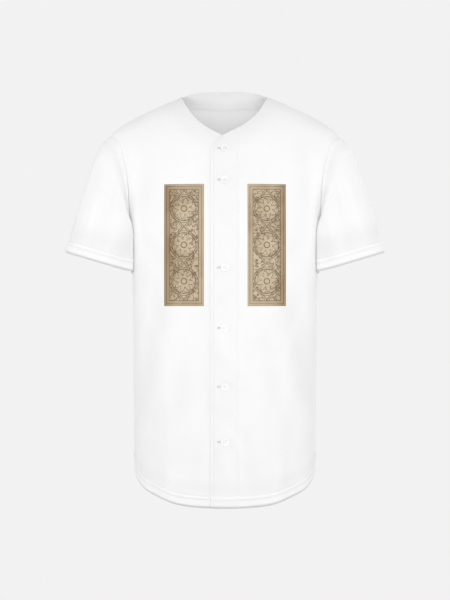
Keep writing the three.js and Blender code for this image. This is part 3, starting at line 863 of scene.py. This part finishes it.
def band_shape(panel):
    edges = 0.85 * (1 - ease(panel.across, 0, 1.8)) + 0.8 * (1 - ease(panel.away, 0, 1.6))
    needles = 0.3 * hill(panel.across - FREE_NEEDLE, 1.1) + 0.2 * hill(panel.away - INNER_NEEDLE, 1)
    ripple = np.sin(panel.up / 3.1 + 2 * np.sin(panel.up / 17))
    pucker = 0.22 * ripple * (hill(panel.across - 8, 3.5) + hill(panel.away - 5, 3))
    swell = 0.35 * np.sin(math.pi * panel.across / (panel.across + panel.away))
    ends = 0.5 * hem_profile(panel.up) + neck_profile(panel.down)
    return BAND_RISE - edges - needles + pucker + swell + ends


FREE_STEPS = [0, 0.01, 0.022, 0.04, 0.065, 0.085, 0.1, 0.115, 0.135, 0.16]
INNER_STEPS = [0.91, 0.935, 0.95, 0.965, 0.98, 0.99, 1]
band_columns = np.concatenate([FREE_STEPS, np.linspace(0.2, 0.88, 14), INNER_STEPS])
band_patch, _ = front_patches(V_X, band_columns)
band = Panel(FRONT, LEFT, band_patch, band_shape)
placket = band.made("jersey_placket", [bare_knit])
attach(placket, "root")
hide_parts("placket")


# The sleeves
# Each is a tube set into the armhole, with a turned hem like the body's. The cloth dips beside the
# armhole seam, rises in a ridge and then hangs to a flattened hem ring.
CUFF = {"x": 233.5, "y": -2, "z": -307, "out": 66, "inner": 69, "depth": 60, "power": 2.4, "tilt": 16.5}
SLEEVE_HEART = (205, 0, -190)
CAP_RISE = 14.5
PILLOW = 9
# The gap kept between a sleeve and the body below the underarm, before and after its hem is shaped
SLEEVE_CLEAR, HEM_CLEAR = 0.5, 0.35
SLEEVE_CREASE = table("run push", (0, 0), (13, -3.5), (30, 2.5), (52, 0.6), (80, 0), (400, 0))

# Creases of the sleeve: where round it and how far down each lies, its half sizes, slant and depth
SLEEVE_CREASES = table(
    "round down broad long slant depth",
    (48, 62, 7, 40, 0.18, -1.8),
    (76, 92, 8, 46, 0.10, 1.6),
    (104, 60, 8, 44, -0.12, -1.5),
    (128, 120, 9, 50, -0.08, 1.4),
    (212, 70, 9, 46, 0.10, -1.6),
    (246, 110, 9, 44, -0.10, 1.6),
    (282, 66, 8, 42, 0.12, -1.7),
    (318, 80, 8, 38, -0.16, 1.4),
)


def unit(vectors):
    return vectors / np.linalg.norm(vectors, axis=-1, keepdims=True)


def sleeve_grid(side, count=168, rows=84):
    """Points of a sleeve, rows by columns, distances from its armhole and hem, and whiteness with painted
    shade and painted light.
    """
    half = count // 2
    share = np.linspace(0, 1, half + 1)
    halves = []
    for face in (FRONT, BACK):
        turn, height, run = ARMHOLES[face]
        turn, height = np.interp(share, run, turn), np.interp(share, run, height)
        bend = math.pi * share
        s, c = np.sin(bend), np.cos(bend)
        reach = (np.abs(s) ** CUFF["power"] + np.abs(c) ** CUFF["power"]) ** (-1 / CUFF["power"])
        across = -c * reach * np.where(c > 0, CUFF["inner"], CUFF["out"])
        tilt = math.radians(CUFF["tilt"])
        ring = np.stack(
            [
                side * (CUFF["x"] + across * math.cos(tilt)),
                CUFF["y"] + face * s * reach * CUFF["depth"],
                CUFF["z"] + across * math.sin(tilt),
            ],
            -1,
        )
        part = slice(None) if face == FRONT else slice(half - 1, 0, -1)
        halves.append([grid[part] for grid in (cloth(face, side, turn, height), ring, bend)])
    seam, ring, bend = (np.concatenate(pair) for pair in zip(*halves))
    seam[[0, half], 1] = 0
    hop = count // 28
    around = unit(np.roll(seam, -hop, 0) - np.roll(seam, hop, 0))
    away = ring - seam
    away = unit(away - around * (away * around).sum(-1, keepdims=True))
    out = unit(np.cross(around, away))
    heart = np.array(SLEEVE_HEART) * [side, 1, 1]
    out *= np.sign((out * (seam - heart)).sum(-1, keepdims=True))
    start = seam + SEAM_GAP * away
    length = np.linalg.norm(ring - start, axis=-1)
    down = np.concatenate([[0, 0.005, 0.01, 0.016, 0.024, 0.034], np.linspace(0.046, 1, rows - 6)])
    top, flank = np.sin(bend / 2) ** 2, np.sin(bend)
    near = np.minimum(1, (length - HEM_HEIGHT) / 60)
    t = down[:, None]
    run = t * length
    rise = CAP_RISE * top * (1 - t**1.5) * (1 - np.exp(-t / 0.07))
    crease = look_up(SLEEVE_CREASE, "run", run / near, "push") * flank * near
    degrees = np.degrees(np.where(np.arange(count) <= half, bend, 2 * math.pi - bend))
    small = 0
    for middle, low, broad, long, slant, depth in zip(*SLEEVE_CREASES.values()):
        beside = degrees - middle - slant * (run - low)
        small = small + depth * hill(beside, broad) * hill(run - low, long)
    small = small * ease(run, 4, 20)
    pillow = PILLOW * hill(np.degrees(bend) - 34, 21) * ease(run, 0, 24)
    points = start + (ring - start) * t[..., None]
    points = points + out * (rise + crease + small + pillow)[..., None]
    clear_of_body(points, side, np.minimum(SLEEVE_CLEAR, SEAM_GAP + 0.2 * run))
    left = length - run
    # painted shade along the crease beside the armhole seam and in a band 40 mm above the hem; painted
    # light near the underarm and at the top of the cap
    painted_shade_dips = 0.04 * hill(run - 15.5, 5.5) * flank + 0.055 * hill(left - 40, 22)
    painted_light_underarm_and_cap = 0.08 * (1 - ease(bend, 0.4, 1.1)) + 0.04 * ease(bend, 2.1, 3.1)
    # painted shade in the small creases, the hem's painted highlight and shade, and painted light on the
    # hem band and right at the armhole seam
    tone = WHITENESS + 0.014 * small - painted_shade_dips + hem_painted_light(left) + painted_light_underarm_and_cap
    tone = tone + 0.02 * (1 - ease(left, 20, 24)) + 0.04 * (1 - ease(run, 1, 4))
    return points, run, left, tone


def clear_of_body(points, side, clear):
    """Moves points of the sleeve out to the side of the body, below the underarm."""
    x, y, height = np.moveaxis(points, -1, 0)
    depth = np.where(y < 0, form_at(height, "front"), form_at(height, "back"))
    share = np.minimum(np.abs(y) / depth, 1)
    power = form_at(height, "power")
    body = form_at(height, "half") * (1 - share**power) ** (1 / power)
    low = 1 - ease(height, UNDERARM + 28, UNDERARM + 55)
    reach = side * x
    points[..., 0] = side * (reach + low * (np.maximum(reach, body + clear) - reach))


def grid_normals(points, heart):
    """Outward directions of a tube's grid."""
    around = np.roll(points, -1, 1) - np.roll(points, 1, 1)
    normal = unit(np.cross(around, np.gradient(points, axis=0)))
    return normal * np.sign((normal * (points - heart)).sum(-1).mean())


def sleeve(side, name):
    """Makes a sleeve and returns its points, directions out and distances from the hem."""
    bare, run, left, tone = sleeve_grid(side)
    heart = bare.mean(axis=1, keepdims=True)
    normal = grid_normals(bare, heart)
    out = hem_profile(left) + seam_profile(run)
    points = bare + normal * out[..., None]
    clear_of_body(points, side, HEM_CLEAR)
    ring = run_along(np.concatenate([points, points[:, :1]], axis=1), 1)
    uv = np.stack([ring, np.concatenate([run, run[:, :1]], axis=1)], -1)
    middle = (points - heart)[points.shape[0] // 2, points.shape[1] // 2]
    materials = [bare_knit, inside_knit_painted_lighter]
    made = cloth_object("jersey_" + name, points, uv, tone, CLOTH, materials, middle, round_=True)
    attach(made, "root")
    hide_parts(name)
    return points, normal, left


sleeves = [sleeve(LEFT, "sleeve_left"), sleeve(RIGHT, "sleeve_right")]


# The back neck facing
# A curved band of the same knit inside the back neck, stitched down along its lower edge.
FACING_CLOTH = 0.6


def facing_shape(panel):
    """Just inside the back, and closest to it along its stitched lower edge."""
    return 0.3 * (1 - ease(panel.up, 0, 4)) - (CLOTH + 0.35)


facing_row = int(np.searchsorted(ROWS, FACING_ROW))
facing_places = half_back()[:, facing_row:]
facing_halves = {side: Panel(BACK, side, facing_places, facing_shape) for side in (RIGHT, LEFT)}
# The facing's whiteness is raised by 0.075 as painted light, since it lies in shade inside the neck, with
# painted shade within 22 mm of the neck edge.
facing = cloth_object(
    "jersey_back_neck_facing",
    *(whole(facing_halves, what) for what in ("points", "uv")),
    WHITENESS + 0.075 - 0.13 * (1 - ease(whole(facing_halves, "down"), 0, 22)),
    FACING_CLOTH,
    [inside_knit_painted_lighter],
    (0, 1, 0),
)
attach(facing, "root")
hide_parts("back_neck_facing")


# The stitching
# White polyester thread: twin rows round the hems of body and sleeves, one row on the turned neck edge,
# one along each side of the placket and one on the facing. Each stitch arcs out of the cloth.
STITCH_SIDES = 6
THREAD_RADIUS = 0.26


def tubes(centre, out, radii, lift=0):
    """Vertices and faces of short tubes along rows of centres, lifted out of the cloth ring by ring."""
    across = unit(np.cross(out, np.gradient(centre, axis=1)))
    centre = centre + out * np.reshape(lift, (-1, 1))
    count, rings = centre.shape[:2]
    turn = np.linspace(0, 2 * math.pi, STITCH_SIDES, endpoint=False)
    rim = across[:, :, None] * np.cos(turn)[:, None] + out[:, :, None] * np.sin(turn)[:, None]
    vertices = centre[:, :, None] + rim * radii[None, :, None, None]
    start = (np.arange(count) * rings * STITCH_SIDES)[:, None, None]
    ring = np.arange(rings - 1)[None, :, None] * STITCH_SIDES
    k = np.arange(STITCH_SIDES)[None, None, :]
    first, second = start + ring + k, start + ring + (k + 1) % STITCH_SIDES
    quads = np.stack([first, second, second + STITCH_SIDES, first + STITCH_SIDES], -1).reshape(-1, 4)
    caps = start[:, 0] + np.arange(STITCH_SIDES)[::-1]
    ends = start[:, 0] + (rings - 1) * STITCH_SIDES + np.arange(STITCH_SIDES)
    return vertices.reshape(-1, 3), [*quads.tolist(), *caps.tolist(), *ends.tolist()]


def stitches(points, normals, stitch=2.6, gap=0.7, rise=0.28):
    """Stitches along a line of points in millimetres, as tubes that dip in at their ends."""
    run = run_along(points, 0)
    count = max(1, int(run[-1] // (stitch + gap)))
    starts = np.arange(count) * run[-1] / count + gap / 2
    t = np.array([0, 0.22, 0.5, 0.78, 1])
    where = starts[:, None] + t * (run[-1] / count - gap)
    centre, out = (
        np.stack([np.interp(where, run, grid[:, i]) for i in range(3)], -1) for grid in (points, normals)
    )
    radii = THREAD_RADIUS * np.array([0.6, 0.95, 1, 0.95, 0.6])
    return tubes(centre, unit(out), radii, rise * np.sin(math.pi * t) - THREAD_LIFT)


def thread_object(name, rows, material):
    """One piece from several rows of stitches."""
    faces, start = [], 0
    for points, row_faces in rows:
        faces += [[start + i for i in face] for face in row_faces]
        start += len(points)
    made = mesh_object(name, np.concatenate([points for points, _ in rows]), faces, [material])
    bpy.ops.object.mode_set(mode="EDIT")
    bpy.ops.mesh.select_all(action="SELECT")
    bpy.ops.mesh.normals_make_consistent(inside=False)
    bpy.ops.object.mode_set(mode="OBJECT")
    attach(made, "root")


def thread_material():
    nodes = Nodes(bpy.data.materials.new("white_thread"))
    where = nodes.where()
    x, y, z = nodes.millimetres(where)
    strands = nodes.sin((x + y + z) * 14)
    sheen = nodes.noise(where, 600, 2)
    colour = nodes.blend(sheen, linear(226, 226, 227), linear(238, 238, 239))
    twist = nodes.bump(strands, 0.00008, 0.5)
    rough = 0.5 + sheen * 0.2
    return nodes.finish(Base_Color=colour, Roughness=rough, Normal=twist, Specular_IOR_Level=0.4)


thread = thread_material()
body_panels = [right_front, left_front, back_halves[RIGHT], back_halves[LEFT]]
hem_rows = [stitches(*panel.line(panel.up, needle)) for panel in body_panels for needle in HEM_NEEDLES]
thread_object("hem_stitches", hem_rows, thread)


def past_placket(points, normals):
    """The part of a line beyond the placket."""
    kept = np.abs(points[:, 0]) > PLACKET_HALF
    return points[kept], normals[kept]


neck_lines = [panel.line(panel.down, NECK_NEEDLE) for panel in body_panels]
neck_rows = [stitches(*past_placket(*line)) for line in neck_lines[:2]]
neck_rows += [stitches(*line) for line in neck_lines[2:]]
thread_object("neck_stitches", neck_rows, thread)

placket_rows = [
    stitches(*band.line(band.across, FREE_NEEDLE, columns=False)),
    stitches(*band.line(band.away, INNER_NEEDLE, columns=False)),
]
thread_object("placket_stitches", placket_rows, thread)


def sleeve_row(grids, left, needle):
    """A closed row of stitches round a sleeve, at a distance from its hem."""
    columns = [*range(left.shape[1]), 0]
    line, out = (
        np.array([[np.interp(needle, left[::-1, j], grid[::-1, j, i]) for i in range(3)] for j in columns])
        for grid in grids
    )
    return stitches(line + 0.1 * out, out)


sleeve_rows = [sleeve_row(grids, left, needle) for *grids, left in sleeves for needle in HEM_NEEDLES]
thread_object("sleeve_stitches", sleeve_rows, thread)

FACING_NEEDLE = 2.2
facing_rows = []
for half in facing_halves.values():
    line, normals = half.line(half.up, FACING_NEEDLE)
    inside = line - normals * (FACING_CLOTH + 2 * THREAD_LIFT)
    facing_rows.append(stitches(inside, -normals))
thread_object("facing_stitches", facing_rows, thread)


# The buttonholes
# Slits across the placket, a little longer than the buttons are wide, edged with close satin stitches.
# Each button is pulled towards the wearer's left end of its hole, so the other end shows beside it.
BUTTON_HEIGHTS = [-102, -160, -318, -426, -531, -630]
HOLE = {"left": -12.6, "right": 5, "half": 0.4, "bar": 1.4, "end_bar": 1.3, "step": 0.62}
BAND_TOP = 1.75
BAR_RADIUS = 0.3
SLIT_DEPTH = 0.3


def on_band(x, height, out):
    """Points and outward directions on top of the placket."""
    turn, height = at_x(x, height)
    points = surface_at(FRONT, LEFT, turn, height, out)
    return points, outward(cloth, FRONT, LEFT, turn, height)


def buttonhole(height):
    """Bars of thread above and below a slit, and square to it at both ends."""
    xs = np.arange(HOLE["left"], HOLE["right"], HOLE["step"])
    zs = height + np.arange(-1.8, 1.9, 0.6)
    share = np.linspace(0, 1, 5)
    places = []
    for way in (1, -1):
        z = height + way * (HOLE["half"] + share * HOLE["bar"])
        places.append((np.repeat(xs, 5), np.tile(z, len(xs))))
    for end, way in ((HOLE["left"], -1), (HOLE["right"], 1)):
        places.append((np.tile(end + way * share * HOLE["end_bar"], len(zs)), np.repeat(zs, 5)))
    x, z = np.concatenate(places, axis=1)
    centre, out = (grid.reshape(-1, 5, 3) for grid in on_band(x, z, BAND_TOP))
    radii = BAR_RADIUS * np.array([0.7, 1, 1, 1, 0.7])
    return tubes(centre, out, radii, 0.32 * np.sin(math.pi * share) - 0.1)


thread_object("buttonhole_stitches", [buttonhole(z) for z in BUTTON_HEIGHTS], thread)


# The slit's grey is painted shadow in the gap of the buttonhole; its noise mottles that painted shadow.
def slit_material():
    nodes = Nodes(bpy.data.materials.new("slit_shadow"))
    where = nodes.where()
    wear_and_shadow_mottle = nodes.noise(where, 500, 2)
    colour = nodes.blend(wear_and_shadow_mottle, linear(229, 229, 230), linear(238, 238, 239))
    return nodes.finish(Base_Color=colour, Roughness=0.85 + wear_and_shadow_mottle * 0.1, Specular_IOR_Level=0.1)


def slit(height, steps=12):
    """A grey strip of painted shadow between the bars of a buttonhole, with a keel below it."""
    xs = np.linspace(HOLE["left"], HOLE["right"], steps)
    edges = ((HOLE["half"], BAND_TOP), (-HOLE["half"], BAND_TOP), (0, BAND_TOP - SLIT_DEPTH))
    rim = [on_band(xs, np.full(steps, float(height + above)), out)[0] for above, out in edges]
    i = np.arange(steps - 1)[:, None] * 3
    faces = np.concatenate([i + [0, 3, 4, 1], i + [1, 4, 5, 2], i + [2, 5, 3, 0]])
    last = 3 * steps - 1
    return np.stack(rim, axis=1).reshape(-1, 3), [*faces.tolist(), [0, 1, 2], [last, last - 1, last - 2]]


thread_object("buttonhole_slits", [slit(z) for z in BUTTON_HEIGHTS], slit_material())


# The buttons
# Glossy white moulded plastic with a raised rim, a dished middle and four holes, sewn on with white
# thread through the front that lies underneath.
BUTTON = {
    "radius": 7.4,
    "thick": 2.6,
    "rim": 1.25,
    "dish": 0.55,
    "slope": 0.5,
    "bevel": 0.32,
    "hole": 0.95,
    "hole_out": 1.9,
}


def add_cylinder(radius, depth, x, y, vertices):
    bpy.ops.object.select_all(action="DESELECT")
    bpy.ops.mesh.primitive_cylinder_add(
        vertices=vertices, radius=radius * MM, depth=depth * MM, location=(x * MM, y * MM, depth * MM / 2)
    )
    bpy.ops.object.transform_apply(location=True, rotation=False, scale=False)
    return bpy.context.active_object


def button_mesh():
    body = add_cylinder(BUTTON["radius"], BUTTON["thick"], 0, 0, 64)
    bpy.ops.object.mode_set(mode="EDIT")
    bpy.ops.mesh.select_mode(type="FACE")
    bpy.ops.mesh.select_all(action="DESELECT")
    bpy.ops.object.mode_set(mode="OBJECT")
    for face in body.data.polygons:
        face.select = face.normal.z > 0.9
    bpy.ops.object.mode_set(mode="EDIT")
    bpy.ops.mesh.inset(thickness=BUTTON["rim"] * MM)
    bpy.ops.mesh.inset(thickness=BUTTON["slope"] * MM, depth=-BUTTON["dish"] * MM)
    bpy.ops.object.mode_set(mode="OBJECT")
    for x in (-1, 1):
        for y in (-1, 1):
            out = BUTTON["hole_out"]
            cutter = add_cylinder(BUTTON["hole"], 3 * BUTTON["thick"], x * out, y * out, 20)
            cutter.data.transform(Matrix.Translation((0, 0, -BUTTON["thick"] * MM)))
            select_only(body)
            cut = body.modifiers.new("Hole", "BOOLEAN")
            cut.object, cut.operation, cut.solver = cutter, "DIFFERENCE", "EXACT"
            bpy.ops.object.modifier_apply(modifier=cut.name)
            bpy.data.objects.remove(cutter)
    soft = body.modifiers.new("Soft edges", "BEVEL")
    soft.width, soft.segments = BUTTON["bevel"] * MM, 3
    soft.limit_method, soft.angle_limit = "ANGLE", math.radians(25)
    bpy.ops.object.modifier_apply(modifier=soft.name)
    bpy.ops.object.shade_smooth_by_angle(angle=math.radians(35))
    mesh = body.data
    bpy.data.objects.remove(body)
    return mesh


def button_material():
    nodes = Nodes(bpy.data.materials.new("button_plastic"))
    where = nodes.where()
    cloud = nodes.noise(where, 260, 3)
    scuff = nodes.noise(where, 1500, 2)
    colour = nodes.blend(cloud, linear(232, 232, 231), linear(243, 243, 242))
    return nodes.finish(
        Base_Color=colour,
        Roughness=0.2 + scuff * 0.12,
        Normal=nodes.bump(scuff, 0.00005, 0.25),
        IOR=1.5,
        Coat_Weight=0.3,
        Coat_Roughness=0.08,
    )


plastic = button_material()
button_shape = button_mesh()
sewing = []
for number, height in enumerate(BUTTON_HEIGHTS, start=1):
    place, out = on_band(np.zeros(1), np.array([float(height)]), BAND_TOP)
    turned = Vector(out[0]).to_track_quat("Z", "Y").to_matrix().to_4x4()
    seat = Matrix.Translation(Vector(place[0] * MM)) @ turned
    mesh = button_shape.copy()
    mesh.transform(seat)
    mesh.materials.clear()
    mesh.materials.append(plastic)
    button = linked(f"jersey_button_{number}", mesh)
    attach(button, "root")
    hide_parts(f"button_{number}")
    facing_out = np.array(seat.to_3x3())
    t = np.linspace(-1, 1, 5)
    level = BUTTON["thick"] - BUTTON["dish"] + 0.28 - 0.9 * np.abs(t) ** 3
    for row in (-1, 1):
        for strand in (-0.42, 0, 0.42):
            x, y = t * (BUTTON["hole_out"] + 0.35), 0 * t + row * BUTTON["hole_out"] + strand
            bar = np.stack([x, y, level], -1) @ facing_out.T + place[0]
            sewing.append(tubes(bar[None], np.tile(out[0], (1, 5, 1)), np.full(5, THREAD_RADIUS)))
thread_object("button_thread", sewing, thread)


# The floor, the lights and the camera
# A pale floor in an evenly lit pale studio. Broad soft lights stand in front, behind and at both sides,
# and a faint small one lights the inside of the back neck.
def floor_material():
    nodes = Nodes(bpy.data.materials.new("studio_floor"))
    where = nodes.where()
    cloud = nodes.noise(where, 1.5, 3)
    grain = nodes.noise(where, 90, 2)
    colour = nodes.blend(cloud, linear(238, 238, 238), linear(244, 244, 244))
    return nodes.finish(Base_Color=colour, Roughness=0.75 + grain * 0.1, Specular_IOR_Level=0.2)


bpy.ops.object.select_all(action="DESELECT")
bpy.ops.mesh.primitive_circle_add(vertices=96, radius=2.6, fill_type="NGON", location=(0, 0, -1.45))
bpy.ops.object.transform_apply(location=True, rotation=False, scale=False)
floor = bpy.context.active_object
floor.name = "studio_floor"
floor.data.materials.append(floor_material())

world = bpy.data.worlds.new("studio")
bpy.context.scene.world = world
sky = Nodes(world, "Background")
direction = sky.node("TexCoord", {}, {}, "Generated")
steep = abs(sky.node("SeparateXYZ", {}, {0: direction}, "Z"))
sky.finish(Color=sky.blend(sky.step(steep, 0.85, 0.2), linear(208, 208, 208), linear(242, 242, 242)))


def area_light(name, location, size, watts, target=(0, 0, -0.38)):
    lamp = bpy.data.lights.new(name, "AREA")
    lamp.shape, lamp.size, lamp.size_y, lamp.energy = "RECTANGLE", *size, watts
    made = linked(name, lamp)
    made.location = location
    made.visible_camera = False
    made.rotation_euler = (Vector(target) - made.location).to_track_quat("-Z", "Y").to_euler()


area_light("front_light", (-0.05, -3.4, 0.3), (2.4, 2.0), 38.5)
area_light("back_light", (0.9, 3.3, 0.5), (2.0, 2.0), 29)
area_light("left_light", (3.3, -0.9, 0.2), (1.6, 2.0), 13)
area_light("right_light", (-3.3, -0.9, 0.2), (1.6, 2.0), 12)
area_light("inner_light", (0, -0.06, -0.33), (0.2, 0.1), 0.115, (0, 0.07, 0))

camera = bpy.data.cameras.new("camera")
camera.sensor_width = 36
camera.lens = 103.2
camera_object = linked("camera", camera)
camera_object.location = (0, -3.2, -0.376)
camera_object.rotation_euler = (RIGHT_ANGLE, 0, 0)
bpy.context.scene.camera = camera_object
bpy.context.scene.view_settings.view_transform = "Standard"
